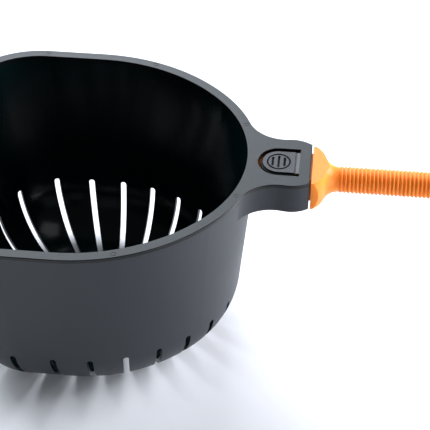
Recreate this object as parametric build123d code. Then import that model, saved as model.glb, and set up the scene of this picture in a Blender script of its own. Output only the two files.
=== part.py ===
"""Hand-held beach sand scoop: slotted basket, release tab and plug-in ribbed handle.

Millimetres, +Z up. The origin is the middle of the basket's flat underside, +X runs
along the handle and the scoop is symmetric about Y = 0, apart from its drain slots.
"""
import os
from math import atan2, cos, hypot, pi, radians, sin, sqrt, tan

from build123d import *

# Basket: plan outline of the rim's outer edge, made of tangent arcs and straight sides.
DEPTH = 111.0             # underside to rim
HALF_WIDTH = 82.6         # straight sides
REAR_RADIUS = 75.5        # arc that faces the handle
REAR_CENTRE_X = 2.3
SIDE_RADIUS = 96.2        # arcs between the rear arc and the straight sides
SIDE_CENTRE_X = -13.3
FRONT_RADIUS = 46.5       # two front corners
FRONT_X = -90.4           # straight front edge

# Basket: walls.
RIM_WIDTH = 5.3           # flat top face of the rim
RIM_HEIGHT = 2.0          # smooth band round the rim
RIM_ROUND = 0.4           # rounding of the band's upper outer edge
RIM_STEP = 0.5            # the wall below stands back from the band
MARK_PLACES = [(69.7, 28.3), (16.1, 75.5), (-43.9, 80.2)]  # ejector-pin marks, on both sides
MARK_RADIUS = 1.25
MARK_LINE = 0.22
MARK_DEPTH = 0.12
OUTER_DRAFT = 6.3         # degrees, sides and rear
INNER_DRAFT = 4.4
FRONT_EXTRA_DRAFT = 6.6   # the front wall leans in this much more
REAR_FULLNESS = 1.4       # and the rear wall that much less, in mm at the underside
FLOOR = 2.2
OUTER_BOTTOM_RADIUS = 34.0
INNER_BOTTOM_RADIUS = 32.0

# Drain slots: upright cuts that run down the wall and across the floor. Those of each
# half fan out from a point on the other side of the middle, and one lies on the front.
# The whole pattern sits a little turned and tilted on the basket.
SLOTS_PER_HALF = 12
SLOT_WIDTH = 3.1
SLOT_TOP_Z = 30.6
SLOT_FAN_X = 1.6
SLOT_FAN_Y = 18.4
SLOT_FIRST_ANGLE = 22.9   # degrees from +X
SLOT_PITCH = 11.6
SLOT_FRONT_COUNT = 3      # the last slots of each half, towards the front, are further apart
SLOT_FRONT_PITCH = 13.7
SLOT_TURN = 1.8           # degrees about Z
SLOT_TILT = -1.1          # degrees about X
SLOT_REACH = 150.0        # from the fan point to well outside the wall
PLAIN_FLOOR = (52.0, 28.0)  # half length and half width of the oval without slots

# Handle socket, moulded on the rear of the basket with its top flush with the rim.
SOCKET_HEIGHT = 17.9
SOCKET_END_X = 104.6
BULGE_RADIUS = 16.4       # swelling near the open end
BULGE_CENTRE = (94.9, 2.1)
BLEND_RADIUS = 20.0       # hollow curve from the rim into the socket
SOCKET_EDGE = 0.8         # rounding of the socket's lower edges
CAVITY_START_X = 76.2
CAVITY_HALF_WIDTH = 10.9
ROOF = 2.0
CAVITY_FLOOR = 2.4

# Release tab in the socket's roof, and the U-shaped gap round it.
TAB_CENTRE_X = 88.4       # centre of the tab's round end
TAB_RADIUS = 8.1
TAB_THICKNESS = 1.7
LEDGE_RADIUS = 9.1        # lower ledge round the tab
LEDGE_DROP = 0.9          # its top, below the rim
GAP_RADIUS = 10.5
GAP_END_X = 99.1
GAP_END_ROUND = 0.9
HINGE_X = 96.7            # the tab's hinged edge
HINGE_GAP = 0.12
HINGE_GROOVE = 0.6        # groove over the web that the tab bends on
HINGE_END_X = 98.9
HINGE_TOP_DROP = 0.35     # the hinge strip lies a little lower than the roof
HINGE_THICKNESS = 0.9
WEB_THICKNESS = 0.5
EMBLEM_RADIUS = 6.05      # plain ring with grip bars, sunk into the tab
EMBLEM_LINE = 0.8
EMBLEM_DEPTH = 0.8
BAR_COUNT = 3
BAR_PITCH = 3.0
BAR_WIDTH = 1.1
NIB_SIZE = (2.2, 6.0, 1.0)
NIB_X = 83.4

# Handle: tongue, flared collar, plain neck, ribbed rod and rounded end.
AXIS_DROP = 9.1           # rod axis below the rim
FIT = 0.2                 # play round the tongue
TONGUE_TIP_X = 76.8
TONGUE_HALF_WIDTH = CAVITY_HALF_WIDTH - FIT
TONGUE_CHAMFER = 0.8
RECESS_DEPTH = 2.6        # room under the tab
RECESS_HALF_WIDTH = 9.4
RECESS_END_X = 97.6
COLLAR_X = 105.4
COLLAR_HALF_WIDTH = 14.7
COLLAR_HEIGHT = 16.8
COLLAR_RADIUS = 17.6      # flare radius at the collar's face
FLARE_START = 28.0        # degrees, slope where the flare leaves the collar's face
FLARE_ANGLE = 64.0        # degrees, where the bulging arc runs into the hollow one
FLARE_BULGE = 15.0        # radius of the bulging arc
NECK_RADIUS = 6.2
RIB_RADIUS = 6.8
RIB_START_X = 119.6
RIB_PITCH = 2.0
RIB_LENGTH = 1.3
RIB_COUNT = 74
END_LENGTH = 14.0

RIM_Z = DEPTH
AXIS_Z = RIM_Z - AXIS_DROP
SOCKET_BOTTOM_Z = RIM_Z - SOCKET_HEIGHT


def basket_wire(inset, front_x, z, shift=0.0):
    """Closed plan outline of the basket, moved in by inset, at height z, its rear moved back by shift."""
    rear = REAR_RADIUS - inset
    side = SIDE_RADIUS - inset
    half = HALF_WIDTH - inset
    corner = FRONT_RADIUS - inset
    side_centre_y = HALF_WIDTH - SIDE_RADIUS
    meet = atan2(-side_centre_y, REAR_CENTRE_X - SIDE_CENTRE_X)
    middle = (meet + pi / 2) / 2
    corner_sag = corner * (1 - cos(pi / 4))
    rear_x = REAR_CENTRE_X + shift
    side_x = SIDE_CENTRE_X + shift

    def curve_end(sign):
        return (rear_x + rear * cos(meet), sign * rear * sin(meet), z)

    edges = [Edge.make_three_point_arc(curve_end(1), (rear_x + rear, 0, z), curve_end(-1))]
    for sign in (1, -1):
        side_middle = (side_x + side * cos(middle), sign * (side_centre_y + side * sin(middle)), z)
        straight_start = (side_x, sign * half, z)
        straight_end = (front_x + corner, sign * half, z)
        corner_middle = (front_x + corner_sag, sign * (half - corner_sag), z)
        corner_end = (front_x, sign * (half - corner), z)
        edges.append(Edge.make_three_point_arc(curve_end(sign), side_middle, straight_start))
        edges.append(Edge.make_line(straight_start, straight_end))
        edges.append(Edge.make_three_point_arc(straight_end, corner_middle, corner_end))
    edges.append(Edge.make_line((front_x, half - corner, z), (front_x, corner - half, z)))
    return Wire.combine(edges)[0]


def drafted_bowl(top_inset, draft, bottom_z, bottom_radius):
    """Solid with tapering walls and a large rounding round its bottom."""
    drop = RIM_Z - bottom_z
    inset = top_inset + drop * tan(radians(draft))
    front_top = FRONT_X + top_inset
    front_bottom = front_top + drop * tan(radians(draft + FRONT_EXTRA_DRAFT))
    bottom = basket_wire(inset, front_bottom, bottom_z, REAR_FULLNESS)
    top = basket_wire(top_inset, front_top, RIM_Z)
    bowl = Solid.make_loft([bottom, top], ruled=True)
    bottom_edges = [e for e in bowl.edges() if abs(e.center().Z - bottom_z) < 0.01]
    return bowl.fillet(bottom_radius, bottom_edges)


def blend_centre(rear_radius):
    """Centre of the hollow arc tangent to the basket's rear arc and to the bulge."""
    to_rear = rear_radius + BLEND_RADIUS
    to_bulge = BULGE_RADIUS + BLEND_RADIUS
    dx = BULGE_CENTRE[0] - REAR_CENTRE_X
    dy = BULGE_CENTRE[1]
    distance = hypot(dx, dy)
    along = (to_rear ** 2 - to_bulge ** 2 + distance ** 2) / (2 * distance)
    across = sqrt(to_rear ** 2 - along ** 2)
    x = REAR_CENTRE_X + (along * dx - across * dy) / distance
    return x, (along * dy + across * dx) / distance


def between(centre, target, radius):
    """Point at the given distance from centre, in the direction of target."""
    dx = target[0] - centre[0]
    dy = target[1] - centre[1]
    distance = hypot(dx, dy)
    return centre[0] + radius * dx / distance, centre[1] + radius * dy / distance


def socket_wire(inset, rear_inset, z):
    """Plan outline of the socket at height z, from inside the basket wall to its open end.

    Its sides stand back by inset, and run into a rear wall that stands back by rear_inset.
    """
    bulge = BULGE_RADIUS - inset
    blend = BLEND_RADIUS + inset
    centre = blend_centre(REAR_RADIUS + inset - rear_inset)
    rear_touch = between(centre, (REAR_CENTRE_X, 0), blend)
    bulge_touch = between(centre, BULGE_CENTRE, blend)
    waist = (centre[0], centre[1] - blend)
    end_y = BULGE_CENTRE[1] + sqrt(bulge ** 2 - (SOCKET_END_X - BULGE_CENTRE[0]) ** 2)
    bulge_top = (BULGE_CENTRE[0] + 1.0, BULGE_CENTRE[1] + sqrt(bulge ** 2 - 1.0))
    inner = (REAR_CENTRE_X + REAR_RADIUS / 2, rear_touch[1])
    end = (SOCKET_END_X, end_y)

    edges = []
    for sign in (1, -1):
        points = [(x, sign * y, z) for x, y in (inner, rear_touch, waist, bulge_touch, bulge_top, end)]
        edges.append(Edge.make_line(points[0], points[1]))
        edges.append(Edge.make_three_point_arc(points[1], points[2], points[3]))
        edges.append(Edge.make_three_point_arc(points[3], points[4], points[5]))
    for x, y in (inner, end):
        edges.append(Edge.make_line((x, y, z), (x, -y, z)))
    return Wire.combine(edges)[0]


def block(x_range, half_width, z_range):
    """Box given by its limits, centred on Y = 0."""
    size = (x_range[1] - x_range[0], 2 * half_width, z_range[1] - z_range[0])
    middle = ((x_range[0] + x_range[1]) / 2, 0, (z_range[0] + z_range[1]) / 2)
    return Pos(*middle) * Box(*size)


def tongue_shape(radius, end_x, z_range):
    """Upright solid with a round end towards the basket and straight sides to end_x."""
    height = z_range[1] - z_range[0]
    middle_z = (z_range[0] + z_range[1]) / 2
    round_end = Pos(TAB_CENTRE_X, 0, middle_z) * Cylinder(radius, height)
    round_end &= block((TAB_CENTRE_X - radius, TAB_CENTRE_X + 1), radius, z_range)
    return round_end + block((TAB_CENTRE_X, end_x), radius, z_range)


def slot_start(angle):
    """Distance from the fan point to the edge of the plain oval, along a slot at angle (radians)."""
    length, width = PLAIN_FLOOR
    a = (cos(angle) / length) ** 2 + (sin(angle) / width) ** 2
    b = SLOT_FAN_X * cos(angle) / length ** 2 - SLOT_FAN_Y * sin(angle) / width ** 2
    c = (SLOT_FAN_X / length) ** 2 + (SLOT_FAN_Y / width) ** 2 - 1
    return (-b + sqrt(b ** 2 - a * c)) / a


def slot_cutter(start):
    """Upright plate along +X from start to well past the wall, with rounded ends."""
    half = SLOT_WIDTH / 2
    length = SLOT_REACH - start - half
    height = SLOT_TOP_Z - half + 1.0
    middle_x = start + half + length / 2
    middle_z = height / 2 - 1.0
    plate = Pos(middle_x, 0, middle_z) * Box(length, SLOT_WIDTH, height)
    inner_end = Pos(start + half, 0, middle_z) * Cylinder(half, height)
    top_end = Pos(middle_x, 0, SLOT_TOP_Z - half) * Rot(0, 90, 0) * Cylinder(half, length)
    return plate + inner_end + top_end


def slot_cutters():
    """All the drain slots' cutters."""
    cutters = [Rot(0, 0, 180) * slot_cutter(PLAIN_FLOOR[0])]
    for index in range(SLOTS_PER_HALF):
        front_steps = max(0, index + 1 - (SLOTS_PER_HALF - SLOT_FRONT_COUNT))
        angle = SLOT_FIRST_ANGLE + (index - front_steps) * SLOT_PITCH + front_steps * SLOT_FRONT_PITCH
        plate = slot_cutter(slot_start(radians(angle)))
        cutters.append(Pos(SLOT_FAN_X, -SLOT_FAN_Y, 0) * Rot(0, 0, angle) * plate)
        cutters.append(Pos(SLOT_FAN_X, SLOT_FAN_Y, 0) * Rot(0, 0, -angle) * plate)
    return [Rot(SLOT_TILT, 0, SLOT_TURN) * cutter for cutter in cutters]


def rim_marks():
    """Shallow rings left by the ejector pins on the rim's top face."""
    ring = Cylinder(MARK_RADIUS, 2 * MARK_DEPTH) - Cylinder(MARK_RADIUS - MARK_LINE, 2 * MARK_DEPTH)
    return [Pos(x, sign * y, RIM_Z) * ring for x, y in MARK_PLACES for sign in (1, -1)]


def make_basket():
    """Basket and socket, one moulding."""
    band_bottom = RIM_Z - RIM_HEIGHT
    band = extrude(Face(basket_wire(0, FRONT_X, band_bottom)), RIM_HEIGHT, dir=(0, 0, 1))
    band += extrude(Face(socket_wire(0, 0, band_bottom)), RIM_HEIGHT, dir=(0, 0, 1))
    band = fillet(band.edges().group_by(Axis.Z)[-1], RIM_ROUND)

    rear_inset = RIM_STEP + SOCKET_HEIGHT * tan(radians(OUTER_DRAFT))
    socket_top = socket_wire(RIM_STEP, RIM_STEP, RIM_Z - RIM_ROUND)
    socket_bottom = socket_wire(RIM_STEP, rear_inset, SOCKET_BOTTOM_Z)
    socket = Solid.make_loft([socket_bottom, socket_top], ruled=True)
    socket = fillet(socket.edges().group_by(Axis.Z)[0], SOCKET_EDGE)

    wall = drafted_bowl(RIM_STEP, OUTER_DRAFT, 0, OUTER_BOTTOM_RADIUS)
    wall -= block((FRONT_X - 10, SOCKET_END_X), HALF_WIDTH + 10, (band_bottom + 0.5, RIM_Z + 1))
    basket = wall + socket + band
    basket -= drafted_bowl(RIM_WIDTH, INNER_DRAFT, FLOOR, INNER_BOTTOM_RADIUS)

    cavity_z = (SOCKET_BOTTOM_Z + CAVITY_FLOOR, RIM_Z - ROOF)
    basket -= block((CAVITY_START_X, SOCKET_END_X + 1), CAVITY_HALF_WIDTH, cavity_z)
    roof_z = (RIM_Z - ROOF - 0.5, RIM_Z + 1)
    basket -= tongue_shape(GAP_RADIUS, GAP_END_X, roof_z)
    basket += hinge_strip()

    for cutter in slot_cutters() + rim_marks():
        basket -= cutter
    return basket


def hinge_strip():
    """Thin strip of roof that the tab bends on, and the roof left between the gap's two ends."""
    strip_top = RIM_Z - HINGE_TOP_DROP
    strip_bottom = strip_top - HINGE_THICKNESS
    strip_start = HINGE_X + HINGE_GROOVE
    strip = block((strip_start, HINGE_END_X), TAB_RADIUS, (strip_bottom, strip_top))
    web = block((HINGE_X + HINGE_GAP, strip_start), TAB_RADIUS, (strip_bottom, strip_bottom + WEB_THICKNESS))
    roof = block((HINGE_END_X, GAP_END_X + 0.5), TAB_RADIUS + GAP_END_ROUND, (RIM_Z - ROOF, RIM_Z))
    return strip + web + roof


def make_release_tab():
    """Tongue-shaped catch with a sunk ring and grip bars, and a nib underneath."""
    bottom_z = RIM_Z - TAB_THICKNESS
    tab = tongue_shape(TAB_RADIUS, HINGE_X, (bottom_z, RIM_Z))
    tab += tongue_shape(LEDGE_RADIUS, HINGE_X, (bottom_z, RIM_Z - LEDGE_DROP))
    groove_z = RIM_Z - EMBLEM_DEPTH / 2
    ring = Cylinder(EMBLEM_RADIUS, EMBLEM_DEPTH) - Cylinder(EMBLEM_RADIUS - EMBLEM_LINE, EMBLEM_DEPTH)
    tab -= Pos(TAB_CENTRE_X, 0, groove_z) * ring
    for index in range(BAR_COUNT):
        offset = (index - (BAR_COUNT - 1) / 2) * BAR_PITCH
        half_length = sqrt((EMBLEM_RADIUS - 2 * EMBLEM_LINE) ** 2 - offset ** 2)
        tab -= Pos(TAB_CENTRE_X + offset, 0, groove_z) * Box(BAR_WIDTH, 2 * half_length, EMBLEM_DEPTH)
    nib_z = bottom_z - NIB_SIZE[2] / 2
    return tab + Pos(NIB_X, 0, nib_z) * Box(*NIB_SIZE)


def rod_profile():
    """Half section of collar flare, neck, ribs and rounded end: x along the rod, y its radius."""
    start = radians(FLARE_START)
    turn = radians(FLARE_ANGLE)
    middle = (start + turn) / 2
    bulge_x = COLLAR_X - FLARE_BULGE * sin(start)
    bulge_r = COLLAR_RADIUS - FLARE_BULGE * cos(start)
    bulge_end = (bulge_x + FLARE_BULGE * sin(turn), bulge_r + FLARE_BULGE * cos(turn))
    bulge_middle = (bulge_x + FLARE_BULGE * sin(middle), bulge_r + FLARE_BULGE * cos(middle))
    hollow = (bulge_end[1] - NECK_RADIUS) / (1 - cos(turn))
    hollow_x = bulge_end[0] + hollow * sin(turn)
    hollow_end = (hollow_x, NECK_RADIUS)
    hollow_middle = (hollow_x - hollow * sin(turn / 2), NECK_RADIUS + hollow * (1 - cos(turn / 2)))
    edges = [
        Edge.make_line((COLLAR_X, 0), (COLLAR_X, COLLAR_RADIUS)),
        Edge.make_three_point_arc((COLLAR_X, COLLAR_RADIUS), bulge_middle, bulge_end),
        Edge.make_three_point_arc(bulge_end, hollow_middle, hollow_end),
    ]
    x = hollow_end[0]
    for index in range(RIB_COUNT):
        start = RIB_START_X + index * RIB_PITCH
        end = start + RIB_LENGTH
        edges.append(Edge.make_line((x, NECK_RADIUS), (start, NECK_RADIUS)))
        crest = ((start + end) / 2, RIB_RADIUS)
        edges.append(Edge.make_three_point_arc((start, NECK_RADIUS), crest, (end, NECK_RADIUS)))
        x = end
    knob_start = x + RIB_PITCH - RIB_LENGTH
    dome_start = knob_start + END_LENGTH - RIB_RADIUS
    dome_middle = (dome_start + RIB_RADIUS * sin(pi / 4), RIB_RADIUS * cos(pi / 4))
    dome_end = (dome_start + RIB_RADIUS, 0)
    edges.append(Edge.make_line((x, NECK_RADIUS), (knob_start, NECK_RADIUS)))
    edges.append(Edge.make_line((knob_start, NECK_RADIUS), (knob_start, RIB_RADIUS)))
    edges.append(Edge.make_line((knob_start, RIB_RADIUS), (dome_start, RIB_RADIUS)))
    edges.append(Edge.make_three_point_arc((dome_start, RIB_RADIUS), dome_middle, dome_end))
    edges.append(Edge.make_line(dome_end, (COLLAR_X, 0)))
    return Face(Wire.combine(edges)[0])


def make_handle():
    """Tongue, collar and ribbed rod, one moulding."""
    rod = revolve(rod_profile(), Axis.X, 360)
    rod_length = rod.bounding_box().max.X
    envelope = block((COLLAR_X, rod_length + 1), COLLAR_HALF_WIDTH, (-COLLAR_HEIGHT / 2, COLLAR_HEIGHT / 2))
    rod = Pos(0, 0, AXIS_Z) * (rod & envelope)

    tongue_z = (SOCKET_BOTTOM_Z + CAVITY_FLOOR + FIT, RIM_Z - ROOF - FIT)
    tongue = block((TONGUE_TIP_X, COLLAR_X + 1), TONGUE_HALF_WIDTH, tongue_z)
    tongue = chamfer(tongue.faces().sort_by(Axis.X)[0].edges(), TONGUE_CHAMFER)
    recess_z = (tongue_z[1] - RECESS_DEPTH, tongue_z[1] + 1)
    tongue -= block((TONGUE_TIP_X - 1, RECESS_END_X), RECESS_HALF_WIDTH, recess_z)
    return rod + tongue


PIECES = {
    "basket": make_basket,
    "release_tab": make_release_tab,
    "handle": make_handle,
}

os.makedirs("parts", exist_ok=True)
for name, make in PIECES.items():
    shape = make()
    solids = shape.solids()
    shape = solids[0] if len(solids) == 1 else Compound(children=list(solids))
    export_step(shape, f"parts/{name}.step")
    box = shape.bounding_box()
    print(name, len(solids), round(shape.volume / 1000, 1), box.min, box.max)
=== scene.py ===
"""Looks of the beach sand scoop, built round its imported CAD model. Metres, same frame as the CAD."""
import math

import bpy
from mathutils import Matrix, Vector


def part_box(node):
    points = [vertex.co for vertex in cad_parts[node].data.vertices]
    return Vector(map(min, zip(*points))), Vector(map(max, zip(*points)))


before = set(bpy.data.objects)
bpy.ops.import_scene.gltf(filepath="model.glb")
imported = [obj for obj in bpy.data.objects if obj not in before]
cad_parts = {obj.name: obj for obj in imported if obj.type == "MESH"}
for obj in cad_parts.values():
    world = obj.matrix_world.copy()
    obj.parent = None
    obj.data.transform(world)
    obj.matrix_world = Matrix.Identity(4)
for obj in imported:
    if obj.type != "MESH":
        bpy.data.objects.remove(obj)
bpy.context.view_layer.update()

# Camera, at the photograph's viewpoint.
CAMERA_AT = (0.1143, -0.5645, 0.5796)
CAMERA_DOWN = 41.81       # degrees below the horizon
CAMERA_TURN = 5.88        # degrees from +Y towards -X
CAMERA_LENS = 122.2       # mm, on a 36 mm sensor
CLIP_START = 0.01

# Stage and light.
FLOOR_HALF = 4.0
FLOOR_COLOUR = (0.92, 0.92, 0.93, 1)
FLOOR_ROUGHNESS = 0.7
SURROUND_COLOUR = (0.9, 0.96, 1.0, 1)
SURROUND_STRENGTH = 0.08
COOL_WHITE = (0.93, 0.98, 1.07)

# Finishes near the rim, and the painted shade on its edge and in grooves: how far below the rim's top
# each starts, and the height it comes in over.
RIM_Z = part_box("basket")[1][2]
TOP_FACE = (0.0007, 0.0006)
SMOOTH_BAND = (0.002, 0.0002)
EDGE_START = (0.00225, 0.0003)
EDGE_END = (0.0002, 0.0002)

# Upward facing (the normal's Z) between which a face counts as level, for the top and for the edge.
TOP_LEVEL = (0.6, 0.95)
EDGE_LEVEL = (0.85, 0.96)
INSIDE_BLEND = 0.004      # softness of the change from inside to outside

# Noise scales, per metre.
FINE_GRAIN = 2600.0
COARSE_GRAIN = 1100.0
SATIN_GRAIN = 420.0
DRIFT = 26.0
ORANGE_FLOW = 38.0
ORANGE_SATIN = 900.0

# Each finish varies between two roughnesses and two colours.
OUTER_ROUGH = (0.46, 0.56)
INNER_ROUGH = (0.16, 0.22)
BAND_ROUGH = (0.30, 0.40)
TOP_ROUGH = (0.40, 0.50)
RIM_EDGE_ROUGH = 0.26
GROOVE_ROUGH = 0.8
ORANGE_ROUGH = (0.36, 0.48)
OUTER_COLOURS = ((0.020, 0.0225, 0.026, 1), (0.030, 0.0335, 0.0385, 1))
TOP_COLOURS = ((0.019, 0.0200, 0.0225, 1), (0.025, 0.0265, 0.0295, 1))
# Inside colours: the same plastic painted far darker than outside, as painted shade inside the basket.
INNER_PAINTED_SHADE_COLOURS = ((0.0005, 0.0050, 0.0055, 1), (0.0012, 0.0078, 0.0084, 1))
# Painted shade in grooves and recesses just under the top, and a painted dark reflection on the rim's
# outer edge.
EDGE_PAINTED_SHADE_COLOUR = (0.0015, 0.0022, 0.0026, 1)
ORANGE_COLOURS = ((0.98, 0.275, 0.030, 1), (1.0, 0.295, 0.036, 1))


class Shader:
    """A material's node tree, with short calls for the nodes used here."""

    def __init__(self, name):
        self.material = bpy.data.materials.new(name)
        self.material.use_nodes = True
        self.tree = self.material.node_tree
        self.principled = self.tree.nodes["Principled BSDF"]

    def node(self, kind, **settings):
        """A new node with the given properties."""
        made = self.tree.nodes.new(kind)
        for key, value in settings.items():
            setattr(made, key, value)
        return made

    def feed(self, socket, value):
        """Links a node's socket, or sets a plain number or colour."""
        if isinstance(value, bpy.types.NodeSocket):
            self.tree.links.new(value, socket)
        else:
            socket.default_value = value

    def set(self, **values):
        """Sets or links inputs of the Principled shader. Underscores stand for spaces."""
        for key, value in values.items():
            self.feed(self.principled.inputs[key.replace("_", " ")], value)

    def math(self, operation, a, b):
        """One Math node."""
        made = self.node("ShaderNodeMath", operation=operation)
        self.feed(made.inputs[0], a)
        self.feed(made.inputs[1], b)
        return made.outputs[0]

    def vector_math(self, operation, a, b, output):
        """The named output of one Vector Math node."""
        made = self.node("ShaderNodeVectorMath", operation=operation)
        self.feed(made.inputs[0], a)
        self.feed(made.inputs[1], b)
        return made.outputs[output]

    def z_of(self, vector):
        """A vector's Z."""
        made = self.node("ShaderNodeSeparateXYZ")
        self.feed(made.inputs[0], vector)
        return made.outputs["Z"]

    def ramp(self, value, low, high):
        """0 below low, 1 above high, smooth between."""
        made = self.node("ShaderNodeMapRange", interpolation_type="SMOOTHSTEP")
        made.inputs["From Min"].default_value = low
        made.inputs["From Max"].default_value = high
        self.feed(made.inputs["Value"], value)
        return made.outputs["Result"]

    def rim_mask(self, height, drop, blend):
        """1 above a level that lies drop below the rim's top, coming in over blend."""
        level = RIM_Z - drop
        return self.ramp(height, level - blend / 2, level + blend / 2)

    def invert(self, value):
        """1 minus value."""
        return self.math("SUBTRACT", 1.0, value)

    def mix_number(self, factor, a, b):
        """a where factor is 0, b where it is 1."""
        made = self.node("ShaderNodeMix", data_type="FLOAT")
        self.feed(made.inputs["Factor"], factor)
        self.feed(made.inputs["A"], a)
        self.feed(made.inputs["B"], b)
        return made.outputs["Result"]

    def mix_colour(self, factor, a, b):
        """Colour a where factor is 0, b where it is 1."""
        made = self.node("ShaderNodeMix", data_type="RGBA")
        self.feed(made.inputs["Factor"], factor)
        self.feed(made.inputs[6], a)
        self.feed(made.inputs[7], b)
        return made.outputs[2]

    def place(self):
        """Position in the row frame at rest, which moves with the piece."""
        return self.node("ShaderNodeTexCoord").outputs["Object"]

    def noise(self, at, scale, detail, roughness=0.5):
        """Noise value, 0 to 1."""
        made = self.node("ShaderNodeTexNoise")
        self.feed(made.inputs["Vector"], at)
        made.inputs["Scale"].default_value = scale
        made.inputs["Detail"].default_value = detail
        made.inputs["Roughness"].default_value = roughness
        return made.outputs["Fac"]

    def bump(self, height, strength, distance, under):
        """The normal given as under, bumped by height."""
        made = self.node("ShaderNodeBump")
        self.feed(made.inputs["Strength"], strength)
        made.inputs["Distance"].default_value = distance
        self.feed(made.inputs["Height"], height)
        self.feed(made.inputs["Normal"], under)
        return made.outputs["Normal"]

    def soft_edges(self, radius):
        """Normal that rounds off sharp edges by radius."""
        made = self.node("ShaderNodeBevel", samples=6)
        made.inputs["Radius"].default_value = radius
        return made.outputs["Normal"]


def outside_mask(s, at, facing):
    """1 on faces that look away from the middle of the basket's mouth, 0 on those that look at it."""
    from_middle = s.vector_math("SUBTRACT", at, (0.0, 0.0, RIM_Z), 0)
    outward = s.vector_math("DOT_PRODUCT", facing, from_middle, "Value")
    return s.ramp(outward, 0.0, INSIDE_BLEND)


def edge_mask(s, height, level):
    """1 on the rim's outer edge and in grooves and recesses just under the top face, where the painted
    shade, a painted dark reflection and the edge roughness go.
    """
    near_top = s.rim_mask(height, *EDGE_START)
    below_top = s.invert(s.rim_mask(height, *EDGE_END))
    steep = s.invert(s.ramp(level, *EDGE_LEVEL))
    return s.math("MULTIPLY", near_top, s.math("MAXIMUM", below_top, steep))


def dark_plastic(name, inside, edge_rough):
    """Charcoal moulded plastic: spark-eroded grain outside, smooth rim, glossier inside if it has one,
    with painted shade making that inside far darker, and painted shade and a painted dark reflection on
    the rim's edge and in grooves.
    """
    s = Shader(name)
    at = s.place()
    facing = s.node("ShaderNodeNewGeometry").outputs["Normal"]
    height = s.z_of(at)
    level = s.z_of(facing)

    top = s.math("MULTIPLY", s.ramp(level, *TOP_LEVEL), s.rim_mask(height, *TOP_FACE))
    band = s.rim_mask(height, *SMOOTH_BAND)
    edge = edge_mask(s, height, level)
    outer = outside_mask(s, at, facing) if inside else 1.0
    grain_area = s.math("MULTIPLY", outer, s.invert(band))

    fine = s.noise(at, FINE_GRAIN, detail=2.0)
    coarse = s.noise(at, COARSE_GRAIN, detail=3.0, roughness=0.6)
    grain = s.math("ADD", s.math("MULTIPLY", fine, 0.45), s.math("MULTIPLY", coarse, 0.55))
    drift = s.noise(at, DRIFT, detail=3.0)
    satin = s.noise(at, SATIN_GRAIN, detail=4.0, roughness=0.7)

    rough_inner = s.mix_number(drift, *INNER_ROUGH)
    rough_wall = s.mix_number(drift, *OUTER_ROUGH)
    rough_outer = s.mix_number(band, rough_wall, s.mix_number(satin, *BAND_ROUGH))
    rough = s.mix_number(outer, rough_inner, rough_outer)
    rough = s.mix_number(top, rough, s.mix_number(satin, *TOP_ROUGH))
    rough = s.mix_number(edge, rough, edge_rough)

    shade = s.math("ADD", s.math("MULTIPLY", drift, 0.5), s.math("MULTIPLY", grain, 0.5))
    outer_colour = s.mix_colour(shade, *OUTER_COLOURS)
    outer_colour = s.mix_colour(top, outer_colour, s.mix_colour(satin, *TOP_COLOURS))
    # Painted shade: the inside gets far darker colours than the outside of the same plastic.
    colour = s.mix_colour(outer, s.mix_colour(drift, *INNER_PAINTED_SHADE_COLOURS), outer_colour)
    # Near black: painted shade in grooves and recesses, and a painted dark reflection on the rim's outer
    # edge.
    colour = s.mix_colour(edge, colour, EDGE_PAINTED_SHADE_COLOUR)

    edges = s.soft_edges(0.00035)
    grained = s.bump(grain, s.math("MULTIPLY", grain_area, 0.55), 0.00012, edges)
    smooth = s.bump(satin, 0.12, 0.00005, grained)
    s.set(Base_Color=colour, Roughness=rough, Normal=smooth, IOR=1.5, Specular_IOR_Level=0.3)
    return s.material


def orange_plastic():
    """Bright orange moulded plastic, a little translucent, with faint flow marks."""
    s = Shader("orange_plastic")
    at = s.place()
    flow = s.noise(at, ORANGE_FLOW, detail=3.0)
    satin = s.noise(at, ORANGE_SATIN, detail=3.0, roughness=0.6)
    colour = s.mix_colour(flow, *ORANGE_COLOURS)
    surface = s.bump(satin, 0.25, 0.00006, s.soft_edges(0.0003))
    rough = s.mix_number(satin, *ORANGE_ROUGH)
    s.set(Base_Color=colour, Roughness=rough, Normal=surface, IOR=1.49, Specular_IOR_Level=0.22)
    s.set(Subsurface_Weight=0.5, Subsurface_Radius=(1.0, 0.22, 0.05), Subsurface_Scale=0.006)
    return s.material


def dress_frame():
    """Gives every CAD node its finish."""
    finishes = {
        "basket": dark_plastic("basket_plastic_charcoal", True, RIM_EDGE_ROUGH),
        "release_tab": dark_plastic("tab_plastic_charcoal", False, GROOVE_ROUGH),
        "handle": orange_plastic(),
    }
    for node, material in finishes.items():
        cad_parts[node].data.materials[0] = material


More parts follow.
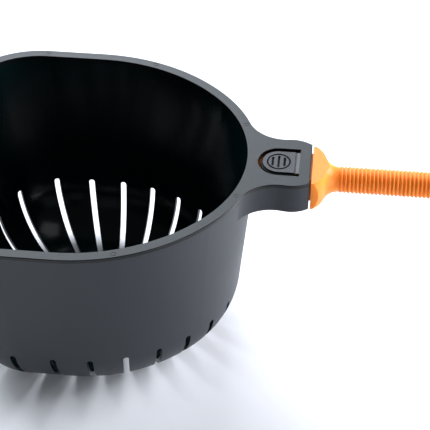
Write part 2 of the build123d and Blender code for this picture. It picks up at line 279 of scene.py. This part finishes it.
def make_camera():
    """The one camera."""
    data = bpy.data.cameras.new("camera")
    data.lens = CAMERA_LENS
    data.clip_start = CLIP_START
    camera = bpy.data.objects.new("camera", data)
    camera.location = CAMERA_AT
    camera.rotation_euler = (math.radians(90 - CAMERA_DOWN), 0, math.radians(CAMERA_TURN))
    bpy.context.scene.collection.objects.link(camera)
    bpy.context.scene.camera = camera


def make_floor():
    """White table top."""
    half = FLOOR_HALF
    corners = [(-half, -half, 0), (half, -half, 0), (half, half, 0), (-half, half, 0)]
    mesh = bpy.data.meshes.new("floor")
    mesh.from_pydata(corners, [], [(0, 1, 2, 3)])
    floor = bpy.data.objects.new("floor", mesh)
    bpy.context.scene.collection.objects.link(floor)
    s = Shader("floor_white")
    s.set(Base_Color=FLOOR_COLOUR, Roughness=FLOOR_ROUGHNESS)
    mesh.materials.append(s.material)


def make_surround():
    """Even, dim light from all round."""
    world = bpy.data.worlds.new("surround")
    world.use_nodes = True
    background = world.node_tree.nodes["Background"]
    background.inputs["Color"].default_value = SURROUND_COLOUR
    background.inputs["Strength"].default_value = SURROUND_STRENGTH
    bpy.context.scene.world = world
    bpy.context.scene.view_settings.view_transform = "Standard"


def make_soft_box(name, at, target, size, radiance):
    """A rectangular soft box at a place, turned to a target, with the given brightness."""
    data = bpy.data.lights.new(name, "AREA")
    data.shape = "RECTANGLE"
    data.size, data.size_y = size
    data.energy = radiance * math.pi * size[0] * size[1]
    data.color = COOL_WHITE
    lamp = bpy.data.objects.new(name, data)
    lamp.location = at
    direction = Vector(target) - Vector(at)
    lamp.rotation_euler = direction.to_track_quat("-Z", "Y").to_euler()
    bpy.context.scene.collection.objects.link(lamp)


def make_lights():
    """Soft boxes: strong behind and to the right, weak elsewhere."""
    basket = (0.0, 0.0, 0.05)
    collar = (0.15, 0.0, 0.1)
    make_soft_box("top_box", (0.55, 0.1, 1.5), basket, (0.8, 0.8), 1.0)
    make_soft_box("back_box", (-0.75, 1.7, 1.45), basket, (2.2, 1.6), 8.0)
    make_soft_box("right_box", (1.7, 0.7, 0.75), basket, (1.2, 1.1), 17.0)
    make_soft_box("left_box", (-1.7, 0.9, 0.8), basket, (1.0, 1.0), 4.0)
    make_soft_box("front_box", (1.7, -1.1, 0.3), collar, (0.9, 0.5), 12.0)


dress_frame()
make_camera()
make_floor()
make_surround()
make_lights()
